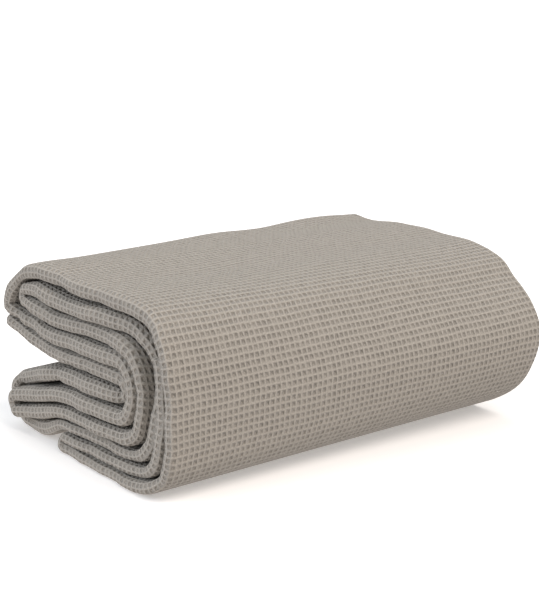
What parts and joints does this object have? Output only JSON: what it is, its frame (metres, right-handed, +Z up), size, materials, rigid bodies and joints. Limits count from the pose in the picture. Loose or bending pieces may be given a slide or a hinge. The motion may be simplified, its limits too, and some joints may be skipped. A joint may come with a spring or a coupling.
{
  "type": "bedspread",
  "caption": "Light waffle-weave cotton bedspread, folded across its width and then back and forth into a soft bundle that lies flat on a shelf or bed.",
  "frame": {"origin": "centre of the bundle's bounding box, at its underside", "axes": "+X along the bundle's long side, towards the end with the hems; -Y towards its folded front; +Z up"},
  "size_m": [0.4526, 0.3644, 0.1887],
  "materials": {
    "waffle_cotton": "matt greige waffle-weave cotton"
  },
  "bodies": {
    "root": {"bedspread": "waffle_cotton"}
  },
  "joints": []
}
